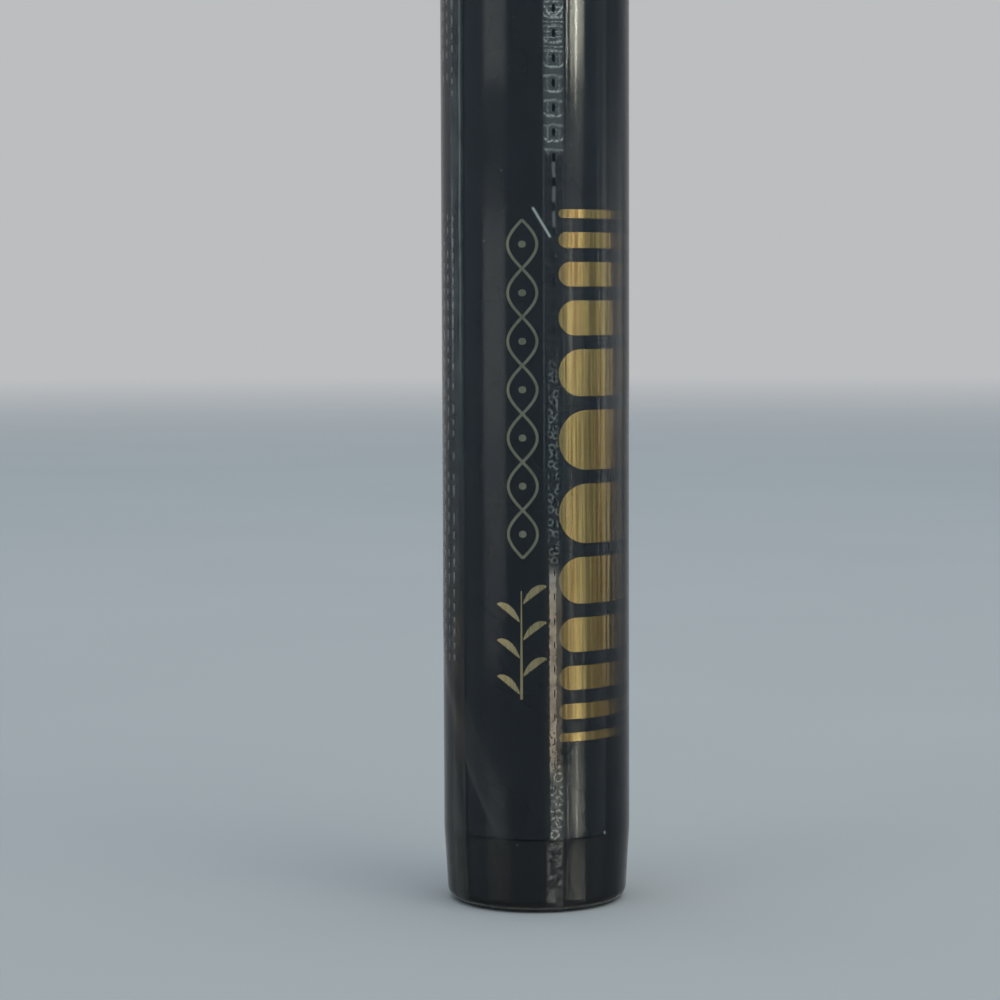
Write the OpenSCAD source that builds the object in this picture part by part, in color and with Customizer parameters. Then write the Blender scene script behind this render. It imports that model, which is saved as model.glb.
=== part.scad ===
// Liquid eyeliner pen with a free-ink tank, a comb collector and a felt nib, still in its clear shrink film.
// It stands on its tail plug: +Z runs from the tail to the cap, and the origin is the centre of the base.
// The front, where the film's tear line shows, faces -Y.

/* [Pen] */
// Overall length, from the base of the tail plug to the top of the cap
pen_len = 137; // [135:0.5:145]
// Outside diameter of the barrel and the cap, without the film
body_d = 10.9; // [10.7:0.1:11.6]
// Length of the cap, from its mouth to its top
cap_len = 52.4; // [51.4:0.2:57]
// Wall of the barrel tube
barrel_wall = 0.8; // [0.7:0.05:0.85]
// Wall of the cap tube at its mouth
cap_wall = 0.8; // [0.7:0.05:0.85]

/* [End plugs] */
// Height of an end plug that shows beyond its tube
plug_h = 4.3; // [3.6:0.1:5]
// How much smaller in radius an end plug is at its end than at its seam
plug_taper = 0.17; // [0.05:0.01:0.4]
// Radius of the rounded edge of an end plug
corner_r = 0.8; // [0.5:0.05:1.2]
// Wall of the hollow spigot of an end plug
plug_wall = 0.9; // [0.7:0.05:1]
// Length of the tail plug's spigot inside the barrel
tail_spigot_len = 8; // [6:0.5:10]
// Length of the top plug's spigot inside the cap
top_spigot_len = 6.6; // [5.4:0.2:7.2]
// Thickness of the tail plug's floor
tail_floor = 1.6; // [1.2:0.1:3]
// Depth from the top of the cap to the seat of the spring
spring_seat_depth = 3; // [2.4:0.2:4]

/* [Ink tube] */
// Wall of the ink tube round the collector
ink_wall = 0.75; // [0.6:0.05:0.85]
// Width of the step between the tank and the collector chamber
land_w = 0.4; // [0.3:0.05:0.5]
// Length of the stopper inside the tank
stopper_len = 6; // [4.5:0.5:8]
// Diameter of the mixing ball
ball_d = 3.2; // [2.5:0.1:4]

/* [Collector] */
// Length of the collector between the tank and the nose
collector_len = 24; // [20:0.5:27]
// Thickness of one fin
fin_t = 0.35; // [0.25:0.05:0.45]
// Distance from one fin to the next
fin_pitch = 0.85; // [0.75:0.05:1.2]
// Width of the ink slot through the fins
ink_slot_w = 0.3; // [0.2:0.05:0.4]
// Width of the air slot opposite the ink slot
air_slot_w = 1.1; // [0.8:0.1:1.6]
// Diameter of the relay wick
wick_d = 1.8; // [1.5:0.1:2]

/* [Nose] */
// Length of the neck that the cap slides on
neck_len = 8; // [7:0.5:9]
// Length of the grip, from the neck to the sealing shoulder
grip_len = 18.2; // [17:0.2:19]
// Diameter of the land that the inner cap seals on
seal_d = 5.3; // [4.8:0.1:5.6]
// Width of the shoulder behind the sealing land
shoulder_w = 0.6; // [0.4:0.05:0.75]
// Length of the nozzle in front of the sealing land
nozzle_len = 2.8; // [2.4:0.2:3.4]
// Diameter of the nozzle at its front
nozzle_d = 4.2; // [3.8:0.1:4.5]

/* [Nib] */
// Diameter of the nib's stem
nib_stem_d = 1.9; // [1.6:0.1:2]
// Diameter of the nib where it leaves its sleeve
nib_d = 1.5; // [1.2:0.1:1.6]
// Length of the nib that shows
nib_out = 8.2; // [7:0.2:8.8]
// Length of the nib sleeve that shows
sleeve_out = 1.8; // [1.2:0.2:2.2]
// Wall of the nib sleeve
sleeve_wall = 0.45; // [0.35:0.05:0.5]

/* [Inner cap] */
// Wall of the inner cap
inner_cap_wall = 0.75; // [0.6:0.05:0.85]
// Travel of the inner cap against its spring, until its hood meets the post of the top plug
inner_cap_travel = 1.2; // [0.8:0.1:1.6]
// Room in front of the nib inside the inner cap
tip_room = 2.2; // [1.6:0.1:2.6]
// Wire of the inner cap's spring
spring_wire = 0.4; // [0.3:0.05:0.45]
// Turns of the inner cap's spring
spring_turns = 8; // [6:1:9]

/* [Film] */
// Thickness of the shrink film
film_t = 0.05; // [0.04:0.01:0.08]
// Distance from one cut of the tear line to the next
tear_pitch = 1.4; // [1.2:0.1:2]

/* [Hidden] */
$fn = 96;

// Clearances between pieces
fit_gap = 0.03;
seal_gap = 0.02;
slide_gap = 0.08;
butt_gap = 0.1;
// Overrun of every cut past the face that it opens
cut = 0.2;
// Small bevels
edge_ease = 0.12;
lead_in = 0.3;

// Snap bead that holds a plug or the nose in its tube
bead_h = 0.12;
bead_w = 0.9;
bead_flat = 0.3;
bead_setback = 1.6;

// Shared radii, from the outside in
body_r = body_d / 2;
bore_r = body_r - barrel_wall;
cap_bore_r = body_r - cap_wall;
bush_step = 0.12;
cap_upper_r = cap_bore_r + bush_step;
ink_r = bore_r - fit_gap;
chamber_r = ink_r - ink_wall;
tank_r = chamber_r - land_w;
wick_r = wick_d / 2;
feed_bore_r = wick_r + fit_gap;

// End plugs
plug_inset = 0.04;
plug_base_r = body_r - plug_inset - plug_taper;
gate_r = 1.6;
gate_depth = 0.25;
relief_w = 0.8;
relief_len_share = 0.55;
relief_count = 4;

// Heights along the pen, from the base up
flange_t = 0.5;
flange_inset = 0.25;
mouth_z = pen_len - cap_len;
flange_z = mouth_z - butt_gap - flange_t;
barrel_top = flange_z - fit_gap;
stopper_flange_t = 0.8;
stopper_z = plug_h + tail_spigot_len + butt_gap;
ink_z = stopper_z + stopper_flange_t + fit_gap;
collar_len = 2.6;
ink_top = barrel_top - collar_len;
nose_spigot_len = 5;
nose_z = ink_top - nose_spigot_len;
collector_top = nose_z - butt_gap;
land_z = collector_top - collector_len;

// Ink tube and stopper
band_len = 4;
band_relief = 0.1;
stopper_top = ink_z + stopper_len;
stopper_rib_h = 0.12;
stopper_rib_len = 0.9;
stopper_wall = 0.8;
stopper_flange_w = 0.7;
stopper_r = tank_r - fit_gap;

// Mixing ball, at rest on the stopper
ball_r = ball_d / 2;
ball_z = stopper_top + seal_gap + ball_r;

// Collector, measured from its seat on the land
rear_flange_t = 1;
tank_ring_d = 1.3;
ring_room = 0.1;
fin_clear = 0.25;
core_wall = 0.5;
air_floor_w = 0.5;
front_flange_t = 1;
pilot_len = 1.2;
rear_snout_len = 3;
front_snout_len = 3;
snout_wall = 0.8;
collector_flange_r = chamber_r - fit_gap;
tank_ring_r = chamber_r - seal_gap - tank_ring_d / 2;
ring_groove_h = tank_ring_d + ring_room;
ring_groove_r = tank_ring_r - tank_ring_d / 2 - seal_gap;
comb_z = rear_flange_t + ring_groove_h + rear_flange_t;
comb_len = collector_len - comb_z - front_flange_t;
fin_r = chamber_r - fin_clear;
core_r = feed_bore_r + core_wall;
snout_r = feed_bore_r + snout_wall;
fin_count = floor((comb_len - (fin_pitch - fin_t)) / fin_pitch);

// Relay wick
wick_tank_len = 2.5;
wick_tip_bevel = 0.3;
wick_z = land_z - rear_snout_len - wick_tank_len;

// Nose section
neck_r = cap_bore_r - slide_gap;
neck_z = flange_z + flange_t;
neck_top = neck_z + neck_len;
grip_step = 0.35;
grip_step_len = 0.5;
grip_z = neck_top + grip_step_len;
seat_z = grip_z + grip_len;
seal_r = seal_d / 2;
seal_land_len = 2;
nozzle_z = seat_z + seal_land_len;
nozzle_step = 0.15;
nozzle_top = nozzle_z + nozzle_len;
nozzle_round = 0.3;
grip_r = neck_r - grip_step;
grip_tip_r = seal_r + shoulder_w;
grip_steps = 12;
grip_groove_count = 6;
grip_groove_pitch = 1.3;
grip_groove_w = 0.45;
grip_groove_depth = 0.14;
grip_groove_start = 4;
socket_r = snout_r + fit_gap;
socket_depth = front_snout_len + butt_gap;
vent_w = 0.5;
vent_depth = 0.2;
vent_count = 3;

// O-ring in the neck, which grips the cap
neck_ring_d = 1.3;
neck_ring_z = neck_z + neck_len / 2;
neck_ring_r = cap_bore_r - fit_gap - neck_ring_d / 2;
neck_groove_r = neck_ring_r - neck_ring_d / 2 - fit_gap;
neck_groove_h = neck_ring_d + ring_room;

// Nib and its sleeve
nib_stem_r = nib_stem_d / 2;
nib_r = nib_d / 2;
sleeve_in_r = nib_stem_r + fit_gap;
sleeve_r = sleeve_in_r + sleeve_wall;
sleeve_bore_r = sleeve_r + fit_gap;
sleeve_in_len = 13.4;
sleeve_z = nozzle_top - sleeve_in_len;
sleeve_top = nozzle_top + sleeve_out;
sleeve_lip_len = 0.8;
nib_tail_len = 0.6;
nib_z = sleeve_z + nib_tail_len;
nib_tip_z = sleeve_top + nib_out;
nib_tip_r = 0.16;
nib_belly = 1.5;
nib_steps = 10;

// Inner cap, its guide bush and its spring
inner_cap_z = seat_z + seal_gap;
skirt_in_r = seal_r + seal_gap;
skirt_r = skirt_in_r + inner_cap_wall;
lip_len = 1.2;
lip_relief = 0.12;
bush_len = 3.5;
bush_setback = 6.2;
bush_z = inner_cap_z + bush_setback;
bush_top = bush_z + bush_len;
bush_in_r = skirt_r + slide_gap;
bush_notch_count = 3;
bush_notch_w = 1;
bush_notch_depth = 0.4;
inner_flange_z = bush_top + fit_gap;
inner_flange_t = 1;
inner_flange_r = cap_bore_r - slide_gap;
tip_room_r = 1.5;
hood_r = tip_room_r + inner_cap_wall;
hood_top = nib_tip_z + tip_room + inner_cap_wall;
hood_round = 0.5;
post_end_z = hood_top + inner_cap_travel + fit_gap;
throat_z = sleeve_top + sleeve_out / 2;
throat_len = 1;
spring_clear = 0.25;
spring_z = inner_flange_z + inner_flange_t + seal_gap;
spring_top = pen_len - spring_seat_depth - seal_gap;
spring_r = hood_r + spring_clear + spring_wire / 2;
spring_rings = 16;
spring_sides = 6;

// Shrink film
film_gap = 0.05;
film_in = film_gap;
film_out = film_gap + film_t;
hem_turn = 48;
hem_steps = 6;
tear_az = -79;
tear_cut_len = 0.55;
tear_cut_w = 0.22;
tear_margin = 1.375;

// Points on an arc about [cr, cz] from angle a0 to angle a1
function arc(cr, cz, r, a0, a1, steps = 8) = [
    for (i = [0 : steps]) let (a = a0 + (a1 - a0) * i / steps) [cr + r * cos(a), cz + r * sin(a)]
];

// A snap bead, or the groove for one, on a wall of radius r, listed upwards (way 1) or downwards (way -1)
function bead(r, z, way) = [
    [r, z - way * bead_w / 2], [r + bead_h, z - way * bead_flat / 2],
    [r + bead_h, z + way * bead_flat / 2], [r, z + way * bead_w / 2]
];

// The rounded end of a plug, moved out by o, from its side to an angle round its edge
function end_edge(o, turn, steps = 8) =
    arc(plug_base_r - corner_r, corner_r, corner_r + o, 0, -turn, steps);

function reversed(points) = [for (i = [len(points) - 1 : -1 : 0]) points[i]];

// Solid of revolution about the pen's axis from [radius, height] points
module lathe(outline) {
    rotate_extrude() polygon(outline);
}

module o_ring(r, d, z) {
    rotate_extrude() translate([r, z]) circle(d = d);
}

// Turns a piece drawn with its end at the base over, so that its end is the top of the cap
module at_cap_top() {
    translate([0, 0, pen_len]) mirror([0, 0, 1]) children();
}

// Closed plug for an open tube, drawn with its outer end at z = 0
module end_plug(spigot_r, spigot_len, floor_t) {
    spigot_end = plug_h + spigot_len;
    spigot_in_r = spigot_r - plug_wall;
    relief_len = spigot_len * relief_len_share;
    difference() {
        lathe(concat(
            [[0, 0]], reversed(end_edge(0, 90)),
            [[body_r - plug_inset, plug_h], [spigot_r, plug_h]],
            bead(spigot_r, spigot_end - bead_setback, 1),
            [[spigot_r, spigot_end - lead_in], [spigot_r - lead_in, spigot_end]],
            [[spigot_in_r, spigot_end], [spigot_in_r, floor_t], [0, floor_t]]
        ));
        for (i = [0 : relief_count - 1]) rotate(360 * (i + 0.5) / relief_count)
            translate([0, -relief_w / 2, spigot_end - relief_len])
                cube([body_r, relief_w, relief_len + cut]);
    }
}

module barrel() {
    color("#0c0d10") lathe(concat(
        [[bore_r, plug_h], [body_r - edge_ease, plug_h], [body_r, plug_h + edge_ease]],
        [[body_r, barrel_top - edge_ease], [body_r - edge_ease, barrel_top], [bore_r, barrel_top]],
        bead(bore_r, barrel_top - collar_len / 2, -1),
        bead(bore_r, plug_h + tail_spigot_len - bead_setback, -1)
    ));
}

// The plug that the pen stands on, with the recess of its moulding gate
module tail_plug() {
    color("#141416") difference() {
        end_plug(bore_r - fit_gap, tail_spigot_len, tail_floor);
        translate([0, 0, -cut]) cylinder(r = gate_r, h = gate_depth + cut);
    }
}

// One tube that is the tank at the rear and the collector's chamber at the front
module ink_tube() {
    waist_r = ink_r - band_relief;
    color("#dfe3df") lathe([
        [tank_r + lead_in, ink_z], [ink_r, ink_z], [ink_r, ink_z + band_len],
        [waist_r, ink_z + band_len + band_relief], [waist_r, ink_top - band_len - band_relief],
        [ink_r, ink_top - band_len], [ink_r, ink_top], [chamber_r + lead_in, ink_top],
        [chamber_r, ink_top - lead_in], [chamber_r, land_z], [tank_r, land_z], [tank_r, ink_z + lead_in]
    ]);
}

// Hollow stopper with a flange and two sealing ribs
module tank_stopper() {
    waist_r = stopper_r - stopper_rib_h;
    rib_1 = ink_z + lead_in + stopper_rib_len;
    rib_2 = stopper_top - 2 * stopper_rib_len;
    color("#f1efe8") lathe([
        [waist_r - stopper_wall, stopper_z], [stopper_r + stopper_flange_w, stopper_z],
        [stopper_r + stopper_flange_w, ink_z - fit_gap], [waist_r, ink_z - fit_gap],
        [waist_r, rib_1], [stopper_r, rib_1 + stopper_rib_h], [stopper_r, rib_1 + stopper_rib_len],
        [waist_r, rib_1 + stopper_rib_len + stopper_rib_h],
        [waist_r, rib_2], [stopper_r, rib_2 + stopper_rib_h], [stopper_r, rib_2 + stopper_rib_len],
        [waist_r - stopper_rib_h, stopper_top], [0, stopper_top],
        [0, stopper_top - stopper_wall], [waist_r - stopper_wall, stopper_top - stopper_wall]
    ]);
}

module mixing_ball() {
    color("#b9bcc0") translate([0, 0, ball_z]) sphere(ball_r);
}

// The collector's stack of fins, from its lowest gap to its highest
function comb_outline() = [
    for (i = [0 : fin_count - 1]) let (z = comb_z + (fin_pitch - fin_t) + i * fin_pitch)
        each [[core_r, z], [fin_r, z], [fin_r, z + fin_t], [core_r, z + fin_t]]
];

// Comb feed that holds the overflow between its fins, with an ink slot to its bore and an air slot opposite
module collector() {
    front_z = collector_len - front_flange_t;
    ring_z = rear_flange_t + ring_groove_h;
    color("#e9e6da") translate([0, 0, land_z]) difference() {
        lathe(concat(
            [[feed_bore_r, -rear_snout_len], [snout_r, -rear_snout_len], [snout_r, -pilot_len]],
            [[tank_r - slide_gap, -pilot_len], [tank_r - slide_gap, 0]],
            [[collector_flange_r, 0], [collector_flange_r, rear_flange_t], [ring_groove_r, rear_flange_t]],
            [[ring_groove_r, ring_z], [collector_flange_r, ring_z], [collector_flange_r, comb_z]],
            [[core_r, comb_z]], comb_outline(), [[core_r, front_z]],
            [[collector_flange_r, front_z], [collector_flange_r, collector_len]],
            [[snout_r, collector_len], [snout_r, collector_len + front_snout_len]],
            [[feed_bore_r, collector_len + front_snout_len]]
        ));
        translate([0, -ink_slot_w / 2, comb_z]) cube([chamber_r, ink_slot_w, front_z - comb_z]);
        translate([0, -ink_slot_w / 2, -rear_snout_len - cut])
            cube([core_r, ink_slot_w, rear_snout_len + cut + comb_z + cut]);
        translate([-chamber_r, -air_slot_w / 2, comb_z])
            cube([chamber_r - core_r - air_floor_w / 2, air_slot_w, front_z - comb_z]);
    }
}

module collector_o_ring() {
    color("#1d1d1f") o_ring(tank_ring_r, tank_ring_d, land_z + rear_flange_t + ring_groove_h / 2);
}

// Fibre rod that carries the ink from the tank to the nib
module relay_wick() {
    wick_top = nib_z - seal_gap;
    color("#f4f2ec") lathe([
        [0, wick_z], [wick_r - wick_tip_bevel, wick_z], [wick_r, wick_z + wick_tip_bevel],
        [wick_r, wick_top - wick_tip_bevel], [wick_r - wick_tip_bevel, wick_top], [0, wick_top]
    ]);
}

// Radius of the grip at a share t of its length, a waist that flattens towards the shoulder
function grip_r_at(t) = grip_r - (grip_r - grip_tip_r) * sin(90 * t);

module grip_grooves() {
    for (i = [0 : grip_groove_count - 1]) {
        z = grip_z + grip_groove_start + i * grip_groove_pitch;
        r = grip_r_at((z - grip_z) / grip_len);
        lathe([
            [r - grip_groove_depth, z], [r + cut, z - grip_groove_w], [r + cut, z + grip_groove_w]
        ]);
    }
}

module nose_section() {
    spigot_r = chamber_r - fit_gap;
    collar_r = bore_r - fit_gap;
    socket_top = nose_z + socket_depth;
    color("#17171a") difference() {
        lathe(concat(
            [[socket_r, nose_z], [spigot_r - lead_in, nose_z], [spigot_r, nose_z + lead_in]],
            [[spigot_r, ink_top + fit_gap], [collar_r, ink_top + fit_gap]],
            bead(collar_r, barrel_top - collar_len / 2, 1),
            [[collar_r, flange_z], [body_r - flange_inset, flange_z]],
            [[body_r - flange_inset, neck_z], [neck_r, neck_z]],
            [[neck_r, neck_ring_z - neck_groove_h / 2], [neck_groove_r, neck_ring_z - neck_groove_h / 2]],
            [[neck_groove_r, neck_ring_z + neck_groove_h / 2], [neck_r, neck_ring_z + neck_groove_h / 2]],
            [[neck_r, neck_top]],
            [for (i = [0 : grip_steps]) [grip_r_at(i / grip_steps), grip_z + grip_len * i / grip_steps]],
            [[seal_r, seat_z], [seal_r, nozzle_z - nozzle_step], [seal_r - nozzle_step, nozzle_z]],
            arc(nozzle_d / 2 - nozzle_round, nozzle_top - nozzle_round, nozzle_round, 0, 90, 4),
            [[sleeve_bore_r, nozzle_top], [sleeve_bore_r, sleeve_z - fit_gap]],
            [[feed_bore_r, sleeve_z - fit_gap], [feed_bore_r, socket_top], [socket_r, socket_top]]
        ));
        grip_grooves();
        for (i = [0 : vent_count - 1]) rotate(90 + 360 * i / vent_count)
            translate([0, -vent_w / 2, sleeve_z])
                cube([sleeve_bore_r + vent_depth, vent_w, sleeve_in_len + cut]);
    }
}

module neck_o_ring() {
    color("#2a2a2c") o_ring(neck_ring_r, neck_ring_d, neck_ring_z);
}

module nib_sleeve() {
    color("#202023") lathe([
        [sleeve_in_r, sleeve_z], [sleeve_r, sleeve_z], [sleeve_r, sleeve_top - sleeve_lip_len],
        [nib_r + (sleeve_r - nib_r) / 2, sleeve_top], [nib_r + fit_gap, sleeve_top],
        [nib_r + fit_gap, sleeve_top - sleeve_lip_len], [sleeve_in_r, sleeve_top - sleeve_lip_len]
    ]);
}

// Felt nib with a stem in the sleeve and a fine rounded point
module nib() {
    tip_z = nib_tip_z - nib_tip_r;
    step_z = sleeve_top - sleeve_lip_len - fit_gap;
    color("#0b0b0c") lathe(concat(
        [[0, nib_z], [nib_stem_r, nib_z], [nib_stem_r, step_z], [nib_r, step_z]],
        [for (i = [0 : nib_steps - 1]) let (t = i / nib_steps) [
            nib_tip_r + (nib_r - nib_tip_r) * (1 - pow(t, nib_belly)),
            sleeve_top + (tip_z - sleeve_top) * t
        ]],
        arc(0, tip_z, nib_tip_r, 0, 90, 5)
    ));
}

module cap_shell() {
    tube_top = pen_len - plug_h;
    color("#0c0d10") lathe(concat(
        [[cap_bore_r + lead_in, mouth_z], [body_r - edge_ease, mouth_z], [body_r, mouth_z + edge_ease]],
        [[body_r, tube_top - edge_ease], [body_r - edge_ease, tube_top], [cap_upper_r, tube_top]],
        bead(cap_upper_r, tube_top - top_spigot_len + bead_setback, -1),
        [[cap_upper_r, bush_z - fit_gap], [cap_bore_r, bush_z - fit_gap], [cap_bore_r, mouth_z + lead_in]]
    ));
}

// Plug with a post that stands in the spring and stops the inner cap
module cap_top_plug() {
    post_z = spring_seat_depth - cut;
    color("#141416") at_cap_top() {
        end_plug(cap_upper_r - fit_gap, top_spigot_len, spring_seat_depth);
        translate([0, 0, post_z]) cylinder(r = hood_r, h = pen_len - post_end_z - post_z);
    }
}

// Ring pressed into the cap that guides the inner cap and stops its flange
module cap_bush() {
    bush_r = cap_upper_r - fit_gap;
    color("#e4e2da") difference() {
        lathe([
            [bush_in_r, bush_z], [bush_r - lead_in, bush_z], [bush_r, bush_z + lead_in],
            [bush_r, bush_top], [bush_in_r, bush_top]
        ]);
        for (i = [0 : bush_notch_count - 1]) rotate(30 + 360 * i / bush_notch_count)
            translate([0, -bush_notch_w / 2, bush_z - cut])
                cube([bush_in_r + bush_notch_depth, bush_notch_w, bush_len + 2 * cut]);
    }
}

// Sealing cup: a skirt with a lip for the nose, a flange for the spring, and a hood over the nib
module inner_cap() {
    room_r = skirt_in_r + lip_relief;
    flange_top = inner_flange_z + inner_flange_t;
    color("#edece6") lathe(concat(
        [[skirt_in_r, inner_cap_z], [skirt_r, inner_cap_z], [skirt_r, inner_flange_z]],
        [[inner_flange_r, inner_flange_z], [inner_flange_r, flange_top], [hood_r, flange_top]],
        arc(hood_r - hood_round, hood_top - hood_round, hood_round, 0, 90, 5),
        [[0, hood_top], [0, hood_top - inner_cap_wall], [tip_room_r, hood_top - inner_cap_wall]],
        [[tip_room_r, throat_z + throat_len], [room_r, throat_z], [room_r, inner_cap_z + lip_len + lip_relief]],
        [[skirt_in_r, inner_cap_z + lip_len]]
    ));
}

// Centre line of the spring, with a whole number of rings a turn
function spring_point(i) = let (
    a = 360 * i / spring_rings,
    rise = spring_top - spring_z - spring_wire,
    t = i / (spring_turns * spring_rings)
) [spring_r * cos(a), spring_r * sin(a), spring_z + spring_wire / 2 + rise * t];

// Least gap between two turns, over every pair of points one turn apart
function spring_gap() = min([
    for (i = [0 : (spring_turns - 1) * spring_rings]) for (k = [-1 : 1])
        norm(spring_point(i + spring_rings + k) - spring_point(i)) - spring_wire
]);

module inner_cap_spring() {
    last = spring_turns * spring_rings;
    points = [
        for (i = [0 : last]) let (p = spring_point(i), a = 360 * i / spring_rings)
            for (j = [0 : spring_sides - 1]) let (
                b = 360 * j / spring_sides,
                out = spring_wire / 2 * cos(b)
            ) [p[0] + out * cos(a), p[1] + out * sin(a), p[2] + spring_wire / 2 * sin(b)]
    ];
    sides = [
        for (i = [0 : last - 1]) for (j = [0 : spring_sides - 1]) let (
            n = (j + 1) % spring_sides,
            lo = i * spring_sides,
            hi = lo + spring_sides
        ) each [[lo + j, hi + j, hi + n], [lo + j, hi + n, lo + n]]
    ];
    ends = [
        [for (j = [0 : spring_sides - 1]) j],
        [for (j = [spring_sides - 1 : -1 : 0]) last * spring_sides + j]
    ];
    color("#c2c4c6") polyhedron(points, concat(sides, ends));
    echo(spring_gap = spring_gap());
}

// Film over one tube and its end plug, drawn with the plug's end at z = 0, slit along the tear line
module film(tube_end, az) {
    outer = concat([[body_r + film_out, tube_end], [body_r + film_out, plug_h]],
        end_edge(film_out, hem_turn, hem_steps));
    inner = concat([[body_r + film_in, tube_end], [body_r + film_in, plug_h]],
        end_edge(film_in, hem_turn, hem_steps));
    cuts = floor((tube_end - plug_h - 2 * tear_margin) / tear_pitch);
    difference() {
        lathe(concat(outer, reversed(inner)));
        for (i = [0 : cuts]) rotate(az)
            translate([body_r, -tear_cut_w / 2, plug_h + tear_margin + i * tear_pitch])
                cube([film_out + cut, tear_cut_w, tear_cut_len]);
    }
}

module barrel_film() {
    color("#dfe6ea", 0.3) film(barrel_top, tear_az);
}

module cap_film() {
    color("#dfe6ea", 0.3) at_cap_top() film(cap_len, tear_az);
}

barrel();
tail_plug();
ink_tube();
tank_stopper();
mixing_ball();
collector();
collector_o_ring();
relay_wick();
nose_section();
neck_o_ring();
nib_sleeve();
nib();
cap_shell();
cap_top_plug();
cap_bush();
inner_cap();
inner_cap_spring();
barrel_film();
cap_film();
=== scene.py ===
"""Looks of a liquid eyeliner pen, still in its clear shrink film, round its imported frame."""

import math

import bmesh
import bpy
from mathutils import Matrix, Vector, noise


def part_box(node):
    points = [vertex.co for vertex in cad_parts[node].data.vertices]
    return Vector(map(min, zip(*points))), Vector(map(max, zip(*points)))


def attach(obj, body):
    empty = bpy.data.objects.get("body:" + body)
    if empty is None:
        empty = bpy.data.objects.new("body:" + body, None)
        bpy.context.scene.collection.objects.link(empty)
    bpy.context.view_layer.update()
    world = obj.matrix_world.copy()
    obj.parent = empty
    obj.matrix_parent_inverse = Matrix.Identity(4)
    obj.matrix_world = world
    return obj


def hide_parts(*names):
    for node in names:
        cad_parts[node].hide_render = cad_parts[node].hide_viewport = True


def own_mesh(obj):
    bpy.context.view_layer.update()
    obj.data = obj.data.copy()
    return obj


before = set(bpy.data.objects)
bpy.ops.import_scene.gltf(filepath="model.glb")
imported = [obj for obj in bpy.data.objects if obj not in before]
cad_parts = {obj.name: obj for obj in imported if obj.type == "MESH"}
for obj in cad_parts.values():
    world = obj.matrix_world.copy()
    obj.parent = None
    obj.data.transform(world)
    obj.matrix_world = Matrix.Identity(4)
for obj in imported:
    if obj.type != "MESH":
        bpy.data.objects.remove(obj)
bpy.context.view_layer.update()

MM = 0.001


def node_mm(name):
    """Lowest and highest corner of a CAD node, in millimetres."""
    return tuple(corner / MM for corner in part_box(name))


# Sizes in millimetres. Angles run round the pen from the front, positive to the right.
BODY_R = node_mm("barrel")[1].x
SEAM_Z = node_mm("barrel")[0].z
BARREL_TOP = node_mm("barrel")[1].z
MOUTH_Z = node_mm("cap_shell")[0].z
PEN_LEN = node_mm("cap_top_plug")[1].z
FILM_R = node_mm("barrel_film")[1].x
FILM_T = 0.05
CORNER_R = 0.8
PLUG_BASE_R = 5.24
TEAR = math.radians(11)
TEAR_PITCH = 1.4
TEAR_FIRST = SEAM_Z + 1.65
LAP = math.radians(-51.7)
FOLD_LOW = Vector((math.radians(-23), 4.4))
FOLD_HIGH = Vector((math.radians(-73), 13.4))
FLECK = Vector((math.radians(46), 4.42))
RIDGE_AT = 0.70

# Heights of the white marks along the tear line, in millimetres
PLUG_MARKS = (0.4, 4.25)
BUBBLE_MARKS = (4.35, 8.8)
STRIP_MARKS = (8.2, 20.0)
BEAD_MARKS = (19.5, 32.0)
RAILS_FADE_IN = (20.0, 28.0)
DASH_MARKS = (39.4, 43.9)
LADDER_FADES_IN = (43.6, 44.3)
RUNGS_FADE_IN = (49.2, 49.6)
FLARES_FADE_IN = (50.9, 51.3)

# Colours of the black mouldings, dark and light, and the strength of their mirror
BLACK = ((0.003, 0.0035, 0.0045), (0.0055, 0.0055, 0.0065))
GLOSS_BLACK = ((0.002, 0.0055, 0.009), (0.003, 0.007, 0.012))
BLACK_MIRROR = 0.22
FILM_IOR = 1.32


class Shade:
    """A number in a material, which can be added, scaled and compared like any other."""

    def __init__(self, tree, socket):
        self.tree = tree
        self.socket = socket

    def apply(self, operation, *others):
        """The result of a maths node on this value and the others."""
        node = self.tree.nodes.new("ShaderNodeMath")
        node.operation = operation
        for slot, value in enumerate((self, *others)):
            if isinstance(value, Shade):
                self.tree.links.new(value.socket, node.inputs[slot])
            else:
                node.inputs[slot].default_value = value
        return Shade(self.tree, node.outputs[0])

    def __add__(self, other):
        return self.apply("ADD", other)

    def __sub__(self, other):
        return self.apply("SUBTRACT", other)

    def __mul__(self, other):
        return self.apply("MULTIPLY", other)

    def __truediv__(self, other):
        return self.apply("DIVIDE", other)

    def __neg__(self):
        return self.apply("MULTIPLY", -1.0)

    def size(self):
        return self.apply("ABSOLUTE")

    def most(self, other):
        return self.apply("MAXIMUM", other)

    def least(self, other):
        return self.apply("MINIMUM", other)

    def ramp(self, low, high, start=0.0, end=1.0):
        """Goes smoothly from start to end as this value goes from low to high."""
        node = self.tree.nodes.new("ShaderNodeMapRange")
        node.interpolation_type = "SMOOTHSTEP"
        self.tree.links.new(self.socket, node.inputs["Value"])
        node.inputs["From Min"].default_value = low
        node.inputs["From Max"].default_value = high
        node.inputs["To Min"].default_value = start
        node.inputs["To Max"].default_value = end
        return Shade(self.tree, node.outputs["Result"])

    def within(self, low, high, soft):
        """1 between low and high, falling to 0 over soft at each end."""
        return self.ramp(low - soft, low + soft) * self.ramp(high - soft, high + soft, 1.0, 0.0)


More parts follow.
